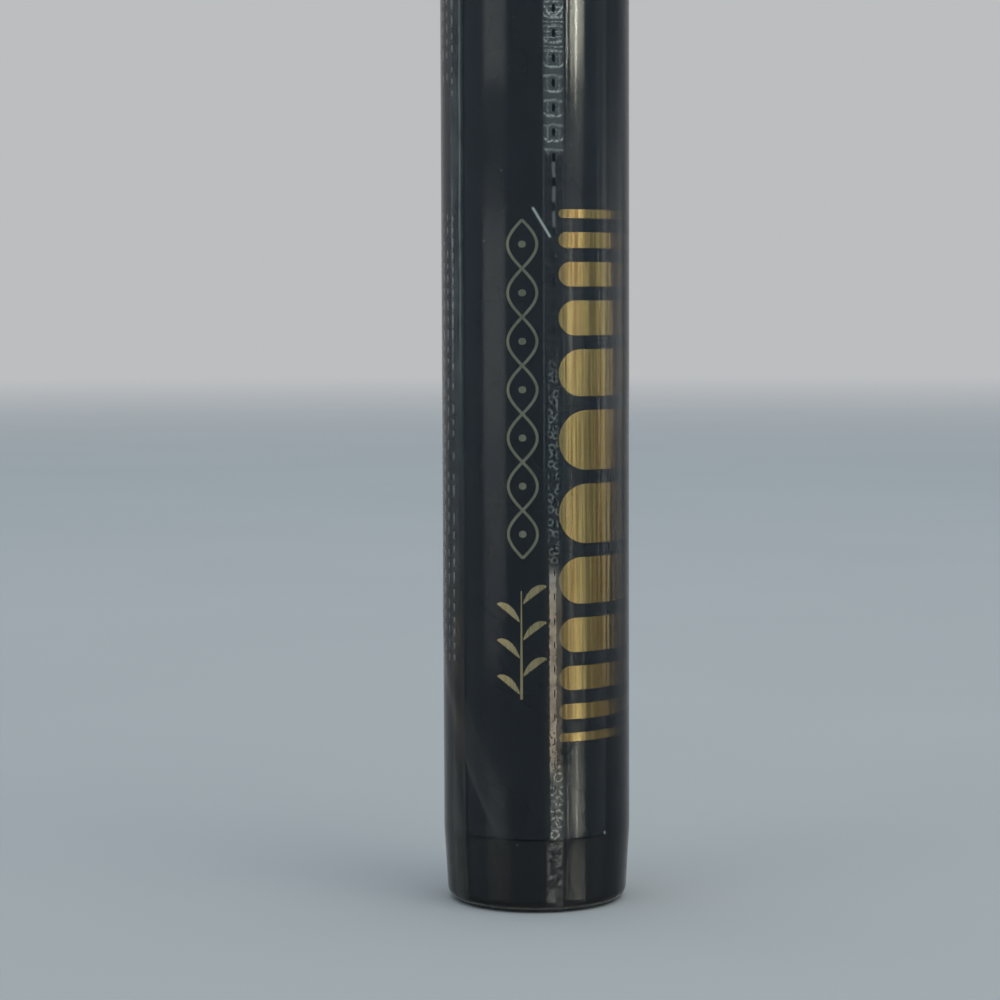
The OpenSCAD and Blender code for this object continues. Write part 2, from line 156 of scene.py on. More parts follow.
class Paint:
    """A procedural material under construction, with the pen's own coordinates in millimetres."""

    def __init__(self, name):
        self.material = bpy.data.materials.new(name)
        self.material.use_nodes = True
        self.tree = self.material.node_tree
        self.tree.nodes.clear()
        place = self.tree.nodes.new("ShaderNodeTexCoord").outputs["Object"]
        scale = self.tree.nodes.new("ShaderNodeVectorMath")
        scale.operation = "SCALE"
        scale.inputs["Scale"].default_value = 1 / MM
        self.tree.links.new(place, scale.inputs[0])
        self.place = scale.outputs[0]
        split = self.tree.nodes.new("ShaderNodeSeparateXYZ")
        self.tree.links.new(self.place, split.inputs[0])
        self.x, self.y, self.z = (Shade(self.tree, split.outputs[i]) for i in range(3))

    def angle(self):
        """Angle round the pen from the front, positive to the right."""
        return self.x.apply("ARCTAN2", -self.y)

    def noise(self, size, detail=3.0, stretch=(1.0, 1.0, 1.0)):
        """Noise from 0 to 1 with features of about this size in millimetres."""
        mapping = self.tree.nodes.new("ShaderNodeMapping")
        mapping.inputs["Scale"].default_value = tuple(1 / (size * s) for s in stretch)
        self.tree.links.new(self.place, mapping.inputs["Vector"])
        node = self.tree.nodes.new("ShaderNodeTexNoise")
        node.inputs["Scale"].default_value = 1.0
        node.inputs["Detail"].default_value = detail
        self.tree.links.new(mapping.outputs[0], node.inputs["Vector"])
        return Shade(self.tree, node.outputs[0])

    def cells(self, across, up, size):
        """Distance to the centres of random flat cells of about this size."""
        flat = self.tree.nodes.new("ShaderNodeCombineXYZ")
        self.tree.links.new(across.socket, flat.inputs[0])
        self.tree.links.new(up.socket, flat.inputs[1])
        node = self.tree.nodes.new("ShaderNodeTexVoronoi")
        node.voronoi_dimensions = "2D"
        node.inputs["Scale"].default_value = 1 / size
        node.inputs["Randomness"].default_value = 0.75
        self.tree.links.new(flat.outputs[0], node.inputs["Vector"])
        return Shade(self.tree, node.outputs["Distance"]) * size

    def blend_colour(self, share, first, second):
        """A colour between two, by a share from 0 to 1."""
        node = self.tree.nodes.new("ShaderNodeMix")
        node.data_type = "RGBA"
        self.tree.links.new(share.socket, node.inputs["Factor"])
        for socket, colour in ((node.inputs[6], first), (node.inputs[7], second)):
            self.link((*colour, 1.0) if isinstance(colour, tuple) else colour, socket)
        return node.outputs[2]

    def bump(self, height, depth):
        """Normals from a height of 0 to 1 that stands for this many millimetres."""
        node = self.tree.nodes.new("ShaderNodeBump")
        node.inputs["Strength"].default_value = 1.0
        node.inputs["Distance"].default_value = depth * MM
        self.tree.links.new(height.socket, node.inputs["Height"])
        return node.outputs[0]

    def link(self, value, socket):
        """Links a socket or a Shade to a socket, or sets the socket to a plain value."""
        if isinstance(value, Shade):
            value = value.socket
        if isinstance(value, bpy.types.NodeSocket):
            self.tree.links.new(value, socket)
        else:
            socket.default_value = value

    def principled(self, colour, rough, normal=None, metal=0.0, **others):
        """A principled shader, whose other sockets are named with _ for each space."""
        node = self.tree.nodes.new("ShaderNodeBsdfPrincipled")
        if isinstance(colour, tuple):
            colour = (*colour, 1.0)
        self.link(colour, node.inputs["Base Color"])
        self.link(rough, node.inputs["Roughness"])
        node.inputs["Metallic"].default_value = metal
        if normal is not None:
            self.link(normal, node.inputs["Normal"])
        for name, value in others.items():
            node.inputs[name.replace("_", " ")].default_value = value
        return node.outputs[0]

    def mix(self, share, first, second):
        node = self.tree.nodes.new("ShaderNodeMixShader")
        self.link(share, node.inputs[0])
        self.tree.links.new(first, node.inputs[1])
        self.tree.links.new(second, node.inputs[2])
        return node.outputs[0]

    def done(self, shader):
        out = self.tree.nodes.new("ShaderNodeOutputMaterial")
        self.tree.links.new(shader, out.inputs["Surface"])
        return self.material


def moulded(name, low, high, rough, spread, grain, depth, **others):
    """Moulded plastic: two near colours, an uneven polish and a fine grain."""
    paint = Paint(name)
    patch = paint.noise(3.0, 2.0)
    polish = patch.ramp(0.3, 0.7, rough - spread, rough + spread)
    normal = paint.bump(paint.noise(grain, 2.0), depth)
    colour = paint.blend_colour(paint.noise(1.6, 3.0).ramp(0.3, 0.7), low, high)
    return paint.done(paint.principled(colour, polish, normal, **others))


def fibre(name, low, high, strand, depth):
    """Bonded fibres that run along the pen."""
    paint = Paint(name)
    strands = paint.noise(strand, 3.0, (1.0, 1.0, 18.0))
    colour = paint.blend_colour(strands.ramp(0.35, 0.65), low, high)
    return paint.done(paint.principled(colour, 0.85, paint.bump(strands, depth)))


def steel(name):
    """Bright steel with fine drawing marks."""
    paint = Paint(name)
    draw = paint.noise(0.06, 3.0, (1.0, 1.0, 4.0))
    patch = paint.noise(1.0).ramp(0.3, 0.7)
    colour = paint.blend_colour(patch, (0.5, 0.5, 0.51), (0.62, 0.62, 0.63))
    return paint.done(paint.principled(colour, draw.ramp(0.3, 0.7, 0.16, 0.3), metal=1.0))


def barrel_gloss():
    """High gloss black that shows a faint orange peel and hairline scratches."""
    paint = Paint("barrel_gloss")
    peel = paint.noise(2.4, 2.0, (1.0, 1.0, 3.0))
    hairs = paint.noise(0.05, 2.0, (1.0, 1.0, 30.0)).ramp(0.66, 0.74)
    normal = paint.bump(peel, 0.004)
    polish = paint.noise(4.0, 4.0).ramp(0.3, 0.7, 0.045, 0.09) + hairs * 0.08
    colour = paint.blend_colour(paint.noise(5.0).ramp(0.3, 0.7), *GLOSS_BLACK)
    return paint.done(paint.principled(colour, polish, normal, Specular_IOR_Level=BLACK_MIRROR))


def bend(paint, value, amount, size):
    """Moves a coordinate about by noise, so that lines drawn from it waver."""
    return value + (paint.noise(size, 2.0) - 0.5) * amount


def tear_marks(paint):
    """White of the film at the cuts of its tear line and where it stuck below, from 0 to 1."""
    z = paint.z
    straight = (paint.angle() - TEAR) * FILM_R
    across = bend(paint, straight, 0.16, 0.5)
    grain = paint.noise(0.16, 3.0)
    patch = paint.noise(0.8, 2.0)
    row = (z - (TEAR_FIRST - TEAR_PITCH / 2)) / TEAR_PITCH
    along = bend(paint, (row.apply("FRACT") - 0.5) * TEAR_PITCH, 0.2, 0.4)
    bow = across * across
    lip = (along + 0.50 - bow * bow * 1.9).size().ramp(0.02, 0.15, 0.38, 0.0)
    flare = (along + 0.42 - bow * 1.9).size().ramp(0.03, 0.17, 0.52, 0.0) * z.ramp(*FLARES_FADE_IN)
    bar = (along - 0.43 + bow * 0.2).size().ramp(0.03, 0.13, 0.30, 0.0)
    posts = (across.size() - 0.35 + along * along * 0.25).size().ramp(0.02, 0.13, 0.24, 0.0)
    rungs = (along * 22.0).apply("SINE").ramp(0.2, 0.9, 0.0, 0.34) * z.ramp(*RUNGS_FADE_IN)
    marks = lip.most(bar).most(rungs).most(posts * along.within(-0.52, 0.44, 0.06)).most(flare)
    marks = marks * across.size().ramp(0.50, 0.62, 1.0, 0.0) * grain.ramp(0.3, 0.62, 0.3, 1.0)
    veil = across.size().ramp(0.40, 0.70, 0.085, 0.0)
    ladder = marks.most(veil) * z.ramp(*LADDER_FADES_IN, 0.1, 1.0)
    rail = (straight.size() - 0.58).size().ramp(0.02, 0.08, 0.05, 0.0) * z.ramp(*RAILS_FADE_IN)
    dashes = across.size().ramp(0.03, 0.17, 0.15, 0.0) * along.size().ramp(0.16, 0.34)
    dashes = dashes * z.within(*DASH_MARKS, 0.4)
    pearls = (paint.cells(straight, z, 0.54) - 0.17).size().ramp(0.02, 0.08, 0.20, 0.03)
    beads = across.within(-0.36, 0.26, 0.08) * pearls * grain.ramp(0.35, 0.6, 0.4, 1.0)
    beads = beads * z.within(*BEAD_MARKS, 2.0)
    torn = bend(paint, straight, 0.18, 0.24)
    strip = torn.within(-0.30, 0.10, 0.04).most(torn.within(-0.30, 0.44, 0.08) * 0.30)
    strip = strip * patch.ramp(0.3, 0.65, 0.30, 0.52) * z.within(*STRIP_MARKS, 0.6)
    notch = grain.ramp(0.36, 0.44).most(z.ramp(10.0, 12.5, 0.1, 1.0))
    fading = straight.ramp(0.30, 0.62, 1.0, 0.20)
    rings = (paint.cells(straight, z, 0.72) - 0.23).size().ramp(0.01, 0.11, 1.0, 0.42)
    bubbles = torn.within(-0.26, 1.00, 0.06) * rings * grain.ramp(0.35, 0.6, 0.16, 0.46)
    bubbles = bubbles * fading * z.within(*BUBBLE_MARKS, 0.1)
    blotch = paint.noise(0.42, 3.0).ramp(0.42, 0.58, 0.15, 1.0)
    mottle = torn.within(-0.45, 0.55, 0.1) * blotch * grain.ramp(0.38, 0.58, 0.06, 0.22)
    mottle = mottle * fading * z.within(*PLUG_MARKS, 0.1)
    return ladder.most(rail).most(dashes).most(beads).most(strip * notch).most(bubbles).most(mottle)


def crease(paint):
    """A short white fold that runs down to the tear line from its left."""
    start, end = Vector((-1.22, 40.9)), Vector((-0.20, 39.2))
    way = (end - start).normalized()
    across = (paint.angle() - TEAR) * FILM_R - start.x
    up = paint.z - start.y
    along = across * way.x + up * way.y
    off = (across * way.y - up * way.x).size()
    return off.ramp(0.01, 0.13, 0.5, 0.0) * along.within(0.0, (end - start).length, 0.1)


def lap_marks_and_reflection(paint):
    """Faint white of the film where it laps over itself, folds at the left, and ends in the hem, and
    a painted reflection of the lap line beside it.
    """
    angle = bend(paint, paint.angle(), 0.03, 5.0)
    past = angle - LAP
    line = past.size().ramp(0.004, 0.030, 0.25, 0.0) * paint.z.ramp(22.0, 38.0, 0.1, 1.0)
    # A painted reflection: a faint pale band just right of the lap line, where the barrel mirrors
    # that line.
    line = line.most(past.within(0.0, 0.055, 0.015) * 0.05)
    second = (past + 0.15).size().ramp(0.005, 0.030, 0.24, 0.0) * paint.z.within(30.0, 43.0, 2.5)
    streaks = paint.noise(0.9, 3.0, (1.0, 1.0, 4.0)).ramp(0.3, 0.7, 0.03, 0.10)
    haze = past.within(-0.18, -0.01, 0.03) * streaks
    line = line.most(second).most(haze) * paint.noise(1.5).ramp(0.3, 0.6, 0.6, 1.0)
    slant = (FOLD_HIGH.x - FOLD_LOW.x) / (FOLD_HIGH.y - FOLD_LOW.y)
    beside = angle - ((paint.z - FOLD_LOW.y) * slant + FOLD_LOW.x)
    fold = beside.size().ramp(0.008, 0.05, 0.040, 0.0).most(beside.within(0.0, 0.34, 0.04) * 0.016)
    fold = fold * angle.ramp(-0.350, -0.325, 1.0, 0.0) * paint.z.within(FOLD_LOW.y, 15.0, 1.0)
    hem = paint.z.least(-paint.z + PEN_LEN)
    hem_line = hem.within(0.20, 0.36, 0.06) * paint.noise(0.3).ramp(0.3, 0.6, 0.05, 0.16)
    dust = paint.noise(0.28, 1.0).ramp(0.76, 0.80, 0.0, 0.12)
    fleck = (angle - FLECK.x + (paint.z - FLECK.y) * 0.04).size().ramp(0.003, 0.012, 0.42, 0.0)
    fleck = fleck * paint.z.within(FLECK.y, FLECK.y + 0.22, 0.06)
    return line.most(fold).most(hem_line).most(dust).most(fleck)


def film_outside(name, white_marks):
    """Clear film: see-through, with a thin mirror on its outside and white where it is marked."""
    paint = Paint(name)
    fine = paint.noise(0.5, 2.0, (1.0, 1.0, 6.0))
    white = lap_marks_and_reflection(paint)
    height = fine
    if white_marks:
        marks = tear_marks(paint).most(crease(paint))
        white = white.most(marks)
        beside = bend(paint, (paint.angle() - TEAR) * FILM_R, 0.08, 2.5).size()
        height = fine + marks * 1.5 + (beside - RIDGE_AT).size().ramp(0.0, 0.18, 2.3, 0.0)
    mirror = paint.tree.nodes.new("ShaderNodeBsdfGlossy")
    normal = paint.bump(height, 0.006)
    paint.link(fine.ramp(0.3, 0.7, 0.05, 0.10), mirror.inputs["Roughness"])
    paint.link(normal, mirror.inputs["Normal"])
    through = paint.tree.nodes.new("ShaderNodeBsdfTransparent")
    facing = paint.tree.nodes.new("ShaderNodeFresnel")
    facing.inputs["IOR"].default_value = FILM_IOR
    clear = paint.mix(facing.outputs[0], through.outputs[0], mirror.outputs[0])
    tint = paint.blend_colour(paint.z.ramp(7.0, 9.5), (0.76, 0.71, 0.61), (0.84, 0.64, 0.45))
    tint = paint.blend_colour(paint.z.ramp(17.0, 23.0), tint, (0.70, 0.74, 0.71))
    milky = paint.principled(tint, 0.45, normal)
    return paint.done(paint.mix(white, clear, milky))


def film_inside(name):
    """Inner face of the film, which only shows as a faint sheen."""
    paint = Paint(name)
    mirror = paint.tree.nodes.new("ShaderNodeBsdfGlossy")
    mirror.inputs["Roughness"].default_value = 0.2
    through = paint.tree.nodes.new("ShaderNodeBsdfTransparent")
    sheen = paint.noise(2.0, 1.0).ramp(0.3, 0.7, 0.002, 0.006)
    return paint.done(paint.mix(sheen, through.outputs[0], mirror.outputs[0]))


def foil(name, low, high, rough):
    """Hot-stamped foil with fine streaks along the pen."""
    paint = Paint(name)
    streak = paint.noise(0.16, 3.0, (1.0, 1.0, 60.0))
    roll = paint.noise(0.75, 2.0, (1.0, 1.0, 30.0))
    colour = paint.blend_colour((streak * 0.5 + roll * 0.5).ramp(0.35, 0.62), low, high)
    polish = streak.ramp(0.3, 0.7, rough - 0.05, rough + 0.06)
    normal = paint.bump(streak * 0.2 + roll * 0.45, 0.07)
    return paint.done(paint.principled(colour, polish, normal, metal=1.0))


def mesh_data(name, mesh):
    """The finished mesh of a bmesh, which is freed."""
    data = bpy.data.meshes.new(name)
    mesh.to_mesh(data)
    mesh.free()
    return data


def add_piece(name, mesh, body, *materials):
    """A smooth object of this mesh that rides with a body."""
    piece = bpy.data.objects.new(name, mesh)
    bpy.context.scene.collection.objects.link(piece)
    for material in materials:
        mesh.materials.append(material)
    for face in mesh.polygons:
        face.use_smooth = True
    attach(piece, body)
    return piece


def round_point(radius, angle, z):
    """A point of the pen, in metres, from its radius, its angle from the front and its height."""
    return Vector((radius * math.sin(angle), -radius * math.cos(angle), z)) * MM


# The film's mesh: rows up the pen, columns round it, and rings of faces round each cut of the
# tear line, with sizes in millimetres and ring positions as shares of the way out from the cut
FILM_COLUMNS = 175
TILE_HALF = 0.6
TILE_STEPS = 4
HOLE_HALF_W = 0.12
SLIT_HALF_W = 0.045
OPEN_ABOVE = 42.0
HOLE_HALF_L = 0.25
MARKED = 1.6
HOLE_RINGS = (0.0, 0.1, 0.24, 0.5)
HEM_TURN = math.radians(51)
HEM_ROWS = 8
TAPER_ROWS = 12
LIP_RISE = 0.03
LIP_WIDE = 0.12
CAP_WAVES_AT = 200

# How far the film stands off the pen, in millimetres, and where its fold ends
SLOW_RISE = 0.011
QUICK_RISE = 0.003
PUCKER_RISE = 0.03
PUCKER_TOP = 2.2
LOWEST = -0.03
RIDGE_RISE = 0.006
RIDGE_WIDE = 0.16
FOLD_RISE = 0.05
FOLD_RIGHT = math.radians(-19)
FOLD_FOOT = 4.2
FOLD_HEAD = 19


def clamped(value):
    """The value, kept from 0 to 1."""
    return min(max(value, 0), 1)


def noise_round(size, angle, up):
    """Noise that closes on itself round the pen and is finer where size is larger."""
    return noise.noise(Vector((size * math.cos(angle), size * math.sin(angle), up)))


def film_wave(angle, z):
    """How far the film stands off: waves, puckers at the hem, and a fold at the left."""
    ridge = math.exp(-((abs(angle - TEAR) * FILM_R - RIDGE_AT) / RIDGE_WIDE) ** 2)
    slow = noise_round(1.3, angle, 0.06 * z)
    quick = noise_round(7, angle, 0.12 * z + 40)
    pucker = max(0.0, 1 - z / PUCKER_TOP) * noise_round(14, angle, z * 0.3)
    share = (z - FOLD_LOW.y) / (FOLD_HIGH.y - FOLD_LOW.y)
    edge = FOLD_LOW.x + (FOLD_HIGH.x - FOLD_LOW.x) * share
    inside = clamped((angle - edge) / 0.10) * clamped((FOLD_RIGHT - angle) / 0.08)
    fold = inside * clamped((z - FOLD_FOOT) / 0.6) * clamped((FOLD_HEAD - z) / 5)
    loose = FOLD_RISE * fold + RIDGE_RISE * ridge
    return max(SLOW_RISE * slow + QUICK_RISE * quick + PUCKER_RISE * pucker, LOWEST) + loose


def film_rows(tube_end):
    """Radius and height of each row from the hem up, the tear line's first row, and its cuts."""
    rows = []
    base = PLUG_BASE_R - CORNER_R
    edge = CORNER_R + FILM_R - BODY_R
    for i in range(HEM_ROWS):
        turn = HEM_TURN * (1 - i / HEM_ROWS)
        rows.append((base + edge * math.cos(turn), CORNER_R - edge * math.sin(turn)))
    for i in range(TAPER_ROWS):
        share = i / TAPER_ROWS
        r = PLUG_BASE_R + FILM_R - BODY_R
        rows.append((r + (FILM_R - r) * share, CORNER_R + (SEAM_Z - CORNER_R) * share))
    rows.append((FILM_R, SEAM_Z))
    rows.append((FILM_R, (SEAM_Z + TEAR_FIRST - TEAR_PITCH / 2) / 2))
    first = len(rows)
    tiles = int((tube_end - TEAR_FIRST - TEAR_PITCH / 2) / TEAR_PITCH)
    for i in range(2 * tiles + 1):
        rows.append((FILM_R, TEAR_FIRST + TEAR_PITCH * (i - 1) / 2))
    rows.append((FILM_R, tube_end))
    return rows, first, tiles


def film_skin(name, tube_end, body, replaced, flip, materials):
    """Film over one tube and its end plug, with a real hole at each cut of the tear line."""
    rows, first, tiles = film_rows(tube_end)
    half = TILE_HALF / FILM_R
    columns = [TEAR - half + 2 * half * i / TILE_STEPS for i in range(TILE_STEPS + 1)]
    rest = 2 * math.pi - 2 * half
    columns += [TEAR + half + rest * (i + 1) / (FILM_COLUMNS + 1) for i in range(FILM_COLUMNS)]
    mesh = bmesh.new()

    def put(radius, angle, z, lift=0.0):
        turn = (angle + math.pi) % (2 * math.pi) - math.pi
        real = PEN_LEN - z if flip else z
        wave = film_wave(turn, z + CAP_WAVES_AT if flip else z)
        return mesh.verts.new(round_point(radius + wave + lift, angle, real))

    grid = {}
    for k, (radius, z) in enumerate(rows):
        for j, angle in enumerate(columns):
            middle = 0 < j < TILE_STEPS and first < k < first + 2 * tiles and (k - first) % 2
            if not middle:
                grid[k, j] = put(radius, angle, z)
    around = len(columns)
    for k in range(len(rows) - 1):
        for j in range(around):
            if j < TILE_STEPS and first <= k < first + 2 * tiles:
                continue
            n = (j + 1) % around
            mesh.faces.new((grid[k, j], grid[k, n], grid[k + 1, n], grid[k + 1, j]))
    for i in range(tiles):
        k = first + 2 * i
        edge = [(k, j) for j in range(TILE_STEPS)] + [(k, TILE_STEPS), (k + 1, TILE_STEPS)]
        edge += [(k + 2, j) for j in range(TILE_STEPS, -1, -1)] + [(k + 1, 0)]
        centre = rows[k + 1][1]
        half_w = HOLE_HALF_W if centre > OPEN_ABOVE else SLIT_HALF_W
        rings = []
        for share in HOLE_RINGS:
            ring = []
            for row, column in edge:
                across = (columns[column] - TEAR) * FILM_R
                along = rows[row][1] - centre
                turn = math.atan2(along / (TEAR_PITCH / 2), across / TILE_HALF)
                s = half_w * math.cos(turn) * (1 - share) + across * share
                v = HOLE_HALF_L * math.sin(turn) * (1 - share) + along * share
                lip = LIP_RISE * math.exp(-((share / LIP_WIDE) ** 2))
                ring.append(put(FILM_R, TEAR + s / FILM_R, centre + v, lip))
            rings.append(ring)
        rings.append([grid[key] for key in edge])
        for inner, outer in zip(rings, rings[1:]):
            for a in range(len(edge)):
                b = (a + 1) % len(edge)
                mesh.faces.new((inner[a], outer[a], outer[b], inner[b]))
    for face in mesh.faces:
        middle = face.calc_center_median()
        face.material_index = abs(math.atan2(middle.x, -middle.y) - TEAR) * FILM_R < MARKED
    if flip:
        bmesh.ops.reverse_faces(mesh, faces=mesh.faces)
    piece = add_piece(name, mesh_data(name, mesh), body, *materials)
    wall = piece.modifiers.new("wall", "SOLIDIFY")
    wall.thickness = FILM_T * MM
    wall.offset = -1
    wall.material_offset = 2
    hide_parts(replaced)


# Foil and ink on the barrel: flat shapes given by two edges, in millimetres round and up the pen
FOIL_OUT = 0.012
FOIL_IN = -0.004
SHARP = math.radians(40)
END_STEPS = 8
END_BLUNT = 0.04
BAR_STEP = 0.3


def add_shape(mesh, first_edge, second_edge):
    """Wraps the flat shape between two edges, each a list of (round, up), onto the barrel."""
    def layer(height, points):
        radius = BODY_R + height
        return [mesh.verts.new(round_point(radius, s / BODY_R, z)) for s, z in points]

    out_a, out_b = layer(FOIL_OUT, first_edge), layer(FOIL_OUT, second_edge)
    in_a, in_b = layer(FOIL_IN, first_edge), layer(FOIL_IN, second_edge)
    last = len(first_edge) - 1
    for i in range(last):
        mesh.faces.new((out_a[i], out_a[i + 1], out_b[i + 1], out_b[i]))
        mesh.faces.new((in_a[i + 1], in_a[i], in_b[i], in_b[i + 1]))
        mesh.faces.new((in_a[i], in_a[i + 1], out_a[i + 1], out_a[i]))
        mesh.faces.new((out_b[i], out_b[i + 1], in_b[i + 1], in_b[i]))
    mesh.faces.new((in_a[0], out_a[0], out_b[0], in_b[0]))
    mesh.faces.new((out_a[last], in_a[last], in_b[last], out_b[last]))


def add_bar(mesh, start, end, z, height):
    """A bar round the barrel with half-round ends."""
    half = height / 2
    quarter = [math.pi * i / (2 * END_STEPS) for i in range(END_STEPS + 1)]
    cap = [half * (1 - math.cos(turn)) for turn in quarter]
    steps = max(2, int((end - start) / BAR_STEP))
    flat = [start + half + (end - start - height) * i / steps for i in range(1, steps)]
    around = [start + c for c in cap] + flat + [end - c for c in reversed(cap)]
    rise = []
    for s in around:
        depth = min(s - start, end - s, half)
        rise.append(max(math.sqrt(max(half * half - (half - depth) ** 2, 0)), half * END_BLUNT))
    low = [(s, z + half - h) for s, h in zip(around, rise)]
    high = [(s, z + half + h) for s, h in zip(around, rise)]
    add_shape(mesh, low, high)


def add_line(mesh, points, widths):
    """A line of changing width along a list of (round, up) points."""
    left, right = [], []
    for i, (s, z) in enumerate(points):
        before, after = points[max(i - 1, 0)], points[min(i + 1, len(points) - 1)]
        way = Vector((after[0] - before[0], after[1] - before[1])).normalized()
        side = Vector((-way.y, way.x)) * widths[i] / 2
        left.append((s + side.x, z + side.y))
        right.append((s - side.x, z - side.y))
    add_shape(mesh, right, left)


def shape_piece(name, build, material):
    """A flat piece on the barrel, whose rims keep a sharp edge."""
    mesh = bmesh.new()
    build(mesh)
    bmesh.ops.recalc_face_normals(mesh, faces=mesh.faces)
    for edge in mesh.edges:
        edge.smooth = edge.calc_face_angle(0.0) < SHARP
    piece = add_piece(name, mesh_data(name, mesh), "barrel", material)


BAR_START = math.radians(14)
BAR_END = math.radians(104)
BAR_LOW = 10.1
BAR_GAP = 0.8
BAR_HEIGHTS = (0.5, 0.9, 1.4, 2.0, 2.7, 3.45, 3.45, 2.7, 2.0, 1.4, 0.9, 0.5)


def build_bars(mesh):
    """Bars that swell to the middle of the panel and thin out again."""
    z = BAR_LOW
    for height in BAR_HEIGHTS:
        add_bar(mesh, BAR_START * BODY_R, BAR_END * BODY_R, z, height)
        z += height + BAR_GAP


CHAIN_AT = math.radians(-8)
CHAIN_LOW = 20.8
CHAIN_HIGH = 40.2
CHAIN_LINK = 2.8
CHAIN_HALF = 0.85
CHAIN_LINE = 0.16
LINK_STEPS = 24
DOT_HALF_W = 0.22
DOT_HIGH = 0.4


def build_chain(mesh):
    """Two fine waves that cross like a plain chain, with a dot in every link."""
    middle = CHAIN_AT * BODY_R
    links = round((CHAIN_HIGH - CHAIN_LOW) / CHAIN_LINK)
    steps = LINK_STEPS * links
    for phase in (0, math.pi):
        points = []
        for i in range(steps + 1):
            s = middle + CHAIN_HALF * math.sin(math.pi * links * i / steps + phase)
            points.append((s, CHAIN_LOW + (CHAIN_HIGH - CHAIN_LOW) * i / steps))
        add_line(mesh, points, [CHAIN_LINE] * len(points))
    for i in range(links):
        z = CHAIN_LOW + (CHAIN_HIGH - CHAIN_LOW) * (i + 0.5) / links
        add_bar(mesh, middle - DOT_HALF_W, middle + DOT_HALF_W, z - DOT_HIGH / 2, DOT_HIGH)


SPRIG_AT = math.radians(-9)
SPRIG_LOW = 12.6
SPRIG_HIGH = 18.9
SPRIG_LEAVES = 6
STEM_FOOT = 0.16
STEM_TAPER = 0.10
LEAF_ROOT = 0.12
LEAF_REACH = 1.35
LEAF_RISE = 1.0
LEAF_THIN = 0.05
LEAF_THICK = 0.42
LEAF_STEPS = 12


def build_sprig(mesh):
    """A stem below the chain with leaves on both sides by turns."""
    middle = SPRIG_AT * BODY_R
    steps = LEAF_STEPS
    rise = (SPRIG_HIGH - SPRIG_LOW) / SPRIG_LEAVES
    stem = [(middle, SPRIG_LOW + (SPRIG_HIGH - SPRIG_LOW) * i / steps) for i in range(steps + 1)]
    add_line(mesh, stem, [STEM_FOOT - STEM_TAPER * i / steps for i in range(steps + 1)])
    for leaf in range(SPRIG_LEAVES):
        side = 1 if leaf % 2 else -1
        root = SPRIG_LOW + rise * (leaf + 0.3)
        points, widths = [], []
        for i in range(steps + 1):
            t = i / steps
            reach = LEAF_ROOT + LEAF_REACH * t
            points.append((middle + side * reach, root + LEAF_RISE * t * (2 - t)))
            widths.append(LEAF_THIN + (LEAF_THICK - LEAF_THIN) * math.sin(math.pi * t) ** 0.8)
        add_line(mesh, points, widths)


DASH_ROWS = [math.radians(angle) for angle in (-62, -70, -79, -88)]
DASH_SPANS = ((14.0, 40.6), (47.4, 60.0))
DASH_WIDE = 0.2
DASH_GAP = 0.3
DASH_LONG = 0.45
ROW_SHIFT = 0.4
LEFT_OUT_BELOW = -0.3


def build_dashes(mesh):
    """Rows of plain dashes of uneven length that run up the left side."""
    for row, angle in enumerate(DASH_ROWS):
        for low, high in DASH_SPANS:
            z = low + ROW_SHIFT * row
            while z < high:
                pick = noise.noise(Vector((z * 1.3, row * 7.1, 0.5)))
                long = DASH_LONG + 0.5 * max(pick, -0.5)
                if pick > LEFT_OUT_BELOW:
                    steps = [(angle * BODY_R, z), (angle * BODY_R, z + long)]
                    add_line(mesh, steps, [DASH_WIDE] * 2)
                z += long + DASH_GAP


SPRING_WIRE = 0.4
SPRING_TURNS = 8
TURN_STEPS = 40
WIRE_SIDES = 12


def spring_piece(material):
    """The inner cap's spring: a coil of round wire at its rest length that rides with the cap."""
    low, high = node_mm("inner_cap_spring")
    radius = high.x - SPRING_WIRE / 2
    mesh = bmesh.new()
    rings = []
    rise = high.z - low.z - SPRING_WIRE
    total = SPRING_TURNS * TURN_STEPS
    for i in range(total + 1):
        turn = 2 * math.pi * i / TURN_STEPS
        z = low.z + SPRING_WIRE / 2 + rise * i / total
        ring = []
        for j in range(WIRE_SIDES):
            a = 2 * math.pi * j / WIRE_SIDES
            r = radius + SPRING_WIRE / 2 * math.cos(a)
            up = z + SPRING_WIRE / 2 * math.sin(a)
            point = Vector((r * math.cos(turn), r * math.sin(turn), up))
            ring.append(mesh.verts.new(point * MM))
        rings.append(ring)
    for first, second in zip(rings, rings[1:]):
        for j in range(WIRE_SIDES):
            n = (j + 1) % WIRE_SIDES
            mesh.faces.new((first[j], second[j], second[n], first[n]))
    mesh.faces.new(rings[0])
    mesh.faces.new(reversed(rings[-1]))
    bmesh.ops.recalc_face_normals(mesh, faces=mesh.faces)
    piece = add_piece("spring_wire", mesh_data("spring_wire", mesh), "cap", material)
    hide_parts("inner_cap_spring")
    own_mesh(piece)


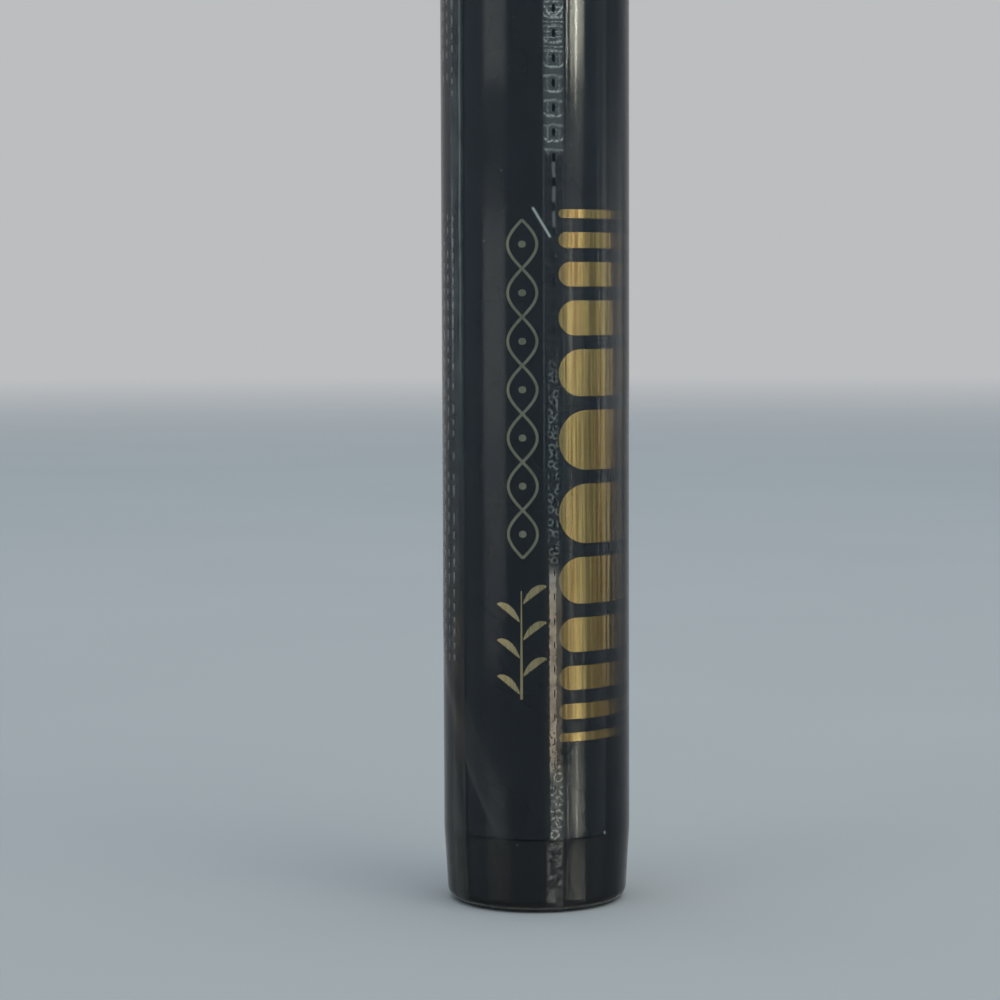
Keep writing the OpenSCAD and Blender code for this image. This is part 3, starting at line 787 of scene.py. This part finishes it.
def finish_nodes():
    """Gives each CAD node that shows its material."""
    mirror = {"Specular_IOR_Level": BLACK_MIRROR}
    satin = moulded("satin_black", *BLACK, 0.3, 0.04, 0.12, 0.002, **mirror)
    plug = moulded("plug_satin", *BLACK, 0.15, 0.03, 0.12, 0.002, **mirror)
    waxy = moulded("waxy_white", (0.70, 0.69, 0.64), (0.78, 0.77, 0.73), 0.42, 0.06, 0.3, 0.004)
    clouded = moulded("clouded_tube", (0.60, 0.63, 0.61), (0.70, 0.73, 0.71), 0.3, 0.06, 0.5, 0.004)
    resin = moulded("etched_resin", (0.66, 0.62, 0.52), (0.74, 0.71, 0.62), 0.55, 0.08, 0.08, 0.004)
    rubber = moulded("seal_rubber", (0.01, 0.01, 0.011), (0.018, 0.018, 0.019), 0.55, 0.1, 0.1, 0.003)
    gloss = barrel_gloss()
    bright = steel("bright_steel")
    looks = {
        "barrel": gloss, "cap_shell": gloss, "tail_plug": plug, "cap_top_plug": plug,
        "nose_section": satin, "nib_sleeve": satin, "ink_tube": clouded, "tank_stopper": waxy,
        "cap_bush": waxy, "inner_cap": waxy, "collector": resin, "collector_o_ring": rubber,
        "neck_o_ring": rubber, "mixing_ball": bright,
        "relay_wick": fibre("wick_fibre", (0.66, 0.63, 0.56), (0.80, 0.78, 0.72), 0.07, 0.02),
        "nib": fibre("inked_felt", (0.004, 0.004, 0.005), (0.016, 0.016, 0.018), 0.05, 0.02),
    }
    for node, material in looks.items():
        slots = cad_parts[node].data.materials
        slots.clear()
        slots.append(material)
    spring_piece(bright)


# The photograph's view: distances in millimetres, angles in degrees, and the focal length in pixels
VIEW_FAR = 162.0
VIEW_HIGH = 35.2
VIEW_DOWN = 4.03
VIEW_TURN = 0.755
VIEW_ROLL = -0.20
VIEW_FOCUS = 2730
PHOTO_SIDE = 1000
SENSOR = 36.0
CLIP_M = (0.005, 20.0)


def place_camera():
    """The camera at the photograph's viewing angle."""
    data = bpy.data.cameras.new("camera")
    data.sensor_width = SENSOR
    data.lens = VIEW_FOCUS / PHOTO_SIDE * SENSOR
    data.clip_start, data.clip_end = CLIP_M
    camera = bpy.data.objects.new("camera", data)
    bpy.context.scene.collection.objects.link(camera)
    camera.location = Vector((0, -VIEW_FAR, VIEW_HIGH)) * MM
    camera.rotation_mode = "XYZ"
    turn = Matrix.Rotation(math.radians(VIEW_TURN), 4, "Z")
    tilt = Matrix.Rotation(math.radians(90 - VIEW_DOWN), 4, "X")
    roll = Matrix.Rotation(math.radians(VIEW_ROLL), 4, "Z")
    camera.rotation_euler = (turn @ tilt @ roll).to_euler("XYZ")
    bpy.context.scene.camera = camera


def softbox(name, azimuth, far, low, high, wide, glow, colour, fade=(0.0, 0.0, 0.0, 0.0)):
    """An upright panel of light at an azimuth from the front, whose face shines at glow.

    Its glow fades in over these shares of its size from its left, its right, its foot and its head.
    """
    data = bpy.data.lights.new(name, "AREA")
    data.shape = "RECTANGLE"
    data.size = wide
    data.size_y = high - low
    data.energy = glow * math.pi * wide * (high - low)
    data.color = colour
    data.use_nodes = True
    tree = data.node_tree
    place = tree.nodes.new("ShaderNodeNewGeometry").outputs["Parametric"]
    split = tree.nodes.new("ShaderNodeSeparateXYZ")
    tree.links.new(place, split.inputs[0])
    across, up = Shade(tree, split.outputs[0]), Shade(tree, split.outputs[1])
    left, right, foot, head = fade
    level = across.ramp(-0.001, left) * across.ramp(1 - right, 1.001, 1.0, 0.0)
    level = level * up.ramp(-0.001, foot) * up.ramp(1 - head, 1.001, 1.0, 0.0)
    tree.links.new(level.socket, tree.nodes["Emission"].inputs["Strength"])
    lamp = bpy.data.objects.new(name, data)
    bpy.context.scene.collection.objects.link(lamp)
    turn = math.radians(azimuth)
    lamp.location = (far * math.sin(turn), -far * math.cos(turn), (low + high) / 2)
    aim = Vector((-lamp.location.x, -lamp.location.y, 0))
    lamp.rotation_mode = "QUATERNION"
    lamp.rotation_quaternion = aim.to_track_quat("-Z", "Y")
    lamp.visible_camera = False
    return lamp


WHITE = (1.0, 1.0, 1.0)
CREAM = (1.0, 0.985, 0.82)
WARM = (1.0, 0.98, 0.92)
GREEN = (0.97, 1.0, 0.97)

# The room behind the lamps: cool all round, and grey where the photograph's view looks
ROOM_ROUND = (0.42, 0.53, 0.61, 1.0)
ROOM_AHEAD = (0.503, 0.515, 0.527, 1.0)

# Name, azimuth in degrees, distance, foot, head and width in metres, glow, colour, and fades
LAMPS = (
    ("window", 54.3, 0.75, 0.1034, 0.150, 0.2775, 6.9, CREAM, (0.05, 0.45, 0.44, 0.0)),
    ("window_core", 51.4, 0.74, 0.1022, 0.150, 0.0275, 44.0, CREAM, (0.5, 0.5, 0.44, 0.0)),
    ("window_foot", 54.3, 0.30, 0.088, 0.110, 0.111, 9.0, CREAM, (0.05, 0.10, 0.1, 0.1)),
    ("far_line", 45, 2.0, 0.20, 0.31, 0.13, 3.0, CREAM, (0.4, 0.4, 0.3, 0.2)),
    ("far_side", 60.5, 2.0, 0.20, 0.31, 0.11, 2.5, CREAM, (0.4, 0.4, 0.3, 0.2)),
    ("key", 54, 0.61, 0.36, 1.00, 0.90, 1.5, CREAM, (0.2, 0.2, 0.2, 0.0)),
    ("window_gap", 44, 0.61, 0.010, 0.058, 0.06, 1.8, CREAM, (0.3, 0.3, 0.0, 0.0)),
    ("window_sill", 48, 0.62, 0.006, 0.090, 0.34, 0.45, GREEN, (0.25, 0.25, 0.0, 0.0)),
    ("right_line", 83.5, 0.60, 0.0, 0.50, 0.026, 0.50, CREAM, (0.4, 0.4, 0.0, 0.0)),
    ("right_low", 83.5, 0.61, 0.0, 0.085, 0.026, 1.5, CREAM, (0.4, 0.4, 0.0, 0.8)),
    ("right_glow", 112, 0.62, 0.0, 0.12, 0.56, 0.85, WHITE, (0.08, 0.25, 0.0, 0.8)),
    ("right_wash", 101, 0.60, 0.0, 0.50, 0.30, 0.20, WHITE, (0.3, 0.3, 0.0, 0.2)),
    ("left_panel", -50.5, 0.60, 0.097, 0.50, 0.42, 0.80, WARM, (0.25, 0.25, 0.0, 0.0)),
    ("left_low", -52, 0.61, 0.0, 0.062, 0.38, 0.75, WARM, (0.15, 0.15, 0.0, 0.0)),
    ("left_wash", -52, 0.62, 0.0, 0.55, 0.42, 0.08, WARM, (0.4, 0.4, 0.0, 0.0)),
    ("left_back", -128, 0.60, 0.0, 0.55, 0.22, 0.45, WARM, (0.4, 0.4, 0.4, 0.2)),
)
OVERHEAD_M = 1.1
OVERHEAD_SIDE = 0.9
OVERHEAD_GLOW = 1.1


def light_room():
    """The room's plain colour, the upright lamps, and one overhead that looks down."""
    world = bpy.data.worlds.new("room")
    world.use_nodes = True
    tree = world.node_tree
    split = tree.nodes.new("ShaderNodeSeparateXYZ")
    tree.links.new(tree.nodes.new("ShaderNodeTexCoord").outputs["Generated"], split.inputs[0])
    wash = tree.nodes.new("ShaderNodeMix")
    wash.data_type = "RGBA"
    wash.inputs[6].default_value = ROOM_ROUND
    wash.inputs[7].default_value = ROOM_AHEAD
    ahead = Shade(tree, split.outputs[1]).ramp(0.2, 0.93)
    tree.links.new(ahead.socket, wash.inputs["Factor"])
    tree.links.new(wash.outputs[2], tree.nodes["Background"].inputs["Color"])
    bpy.context.scene.world = world
    for lamp in LAMPS:
        softbox(*lamp)
    overhead = softbox("overhead", 0, 0.0, 0.0, OVERHEAD_SIDE, OVERHEAD_SIDE, OVERHEAD_GLOW, WHITE)
    overhead.location = (0, 0, OVERHEAD_M)
    overhead.rotation_quaternion = Vector((0, 0, -1)).to_track_quat("-Z", "Y")


# The floor's half side and where it fades into the backdrop, in metres, and its two near colours
FLOOR_SIDE = 3.0
FADE_FROM = 0.35
FADE_TO = 1.3
FLOOR_COLOURS = ((0.44, 0.45, 0.46), (0.452, 0.462, 0.472))


def lay_floor():
    """A wide pale floor, matt to the eye and satin where the pen mirrors it."""
    paint = Paint("pale_floor")
    colour = paint.blend_colour(paint.noise(60.0, 3.0).ramp(0.3, 0.7), *FLOOR_COLOURS)
    away = (paint.x * paint.x + paint.y * paint.y).apply("SQRT") * MM
    satin = paint.principled(colour, paint.noise(60.0).ramp(0.3, 0.7, 0.05, 0.07))
    matte = paint.principled(colour, 0.9, Specular_IOR_Level=0.2)
    seen = paint.tree.nodes.new("ShaderNodeLightPath").outputs["Is Camera Ray"]
    clear = paint.tree.nodes.new("ShaderNodeBsdfTransparent")
    near = paint.mix(seen, satin, matte)
    shader = paint.mix(away.ramp(FADE_FROM, FADE_TO), near, clear.outputs[0])
    mesh = bpy.data.meshes.new("floor")
    corners = [(x * FLOOR_SIDE, y * FLOOR_SIDE, 0) for x, y in ((-1, -1), (1, -1), (1, 1), (-1, 1))]
    mesh.from_pydata(corners, [], [(0, 1, 2, 3)])
    mesh.materials.append(paint.done(shader))
    floor = bpy.data.objects.new("floor", mesh)
    bpy.context.scene.collection.objects.link(floor)


place_camera()
light_room()
lay_floor()
finish_nodes()
INSIDE = film_inside("film_inside")
FILM = (film_outside("film_clear", False), film_outside("film_marked", True), INSIDE, INSIDE)
film_skin("film_on_barrel", BARREL_TOP, "barrel", "barrel_film", False, FILM)
film_skin("film_on_cap", PEN_LEN - MOUTH_Z, "cap", "cap_film", True, FILM)

# Name, builder, material, its dark and light colour, and its roughness
SHAPES = (
    ("foil_bars", build_bars, "gold_foil", (0.20, 0.118, 0.038), (0.34, 0.245, 0.09), 0.18),
    ("foil_chain", build_chain, "pale_foil", (0.17, 0.165, 0.11), (0.26, 0.25, 0.17), 0.34),
    ("foil_sprig", build_sprig, "soft_foil", (0.32, 0.25, 0.12), (0.43, 0.34, 0.18), 0.28),
    ("fine_dashes", build_dashes, "grey_foil", (0.30, 0.30, 0.29), (0.42, 0.42, 0.40), 0.4),
)
for piece_name, build_shape, foil_name, dark, light, rough in SHAPES:
    shape_piece(piece_name, build_shape, foil(foil_name, dark, light, rough))

bpy.context.scene.view_settings.view_transform = "Standard"
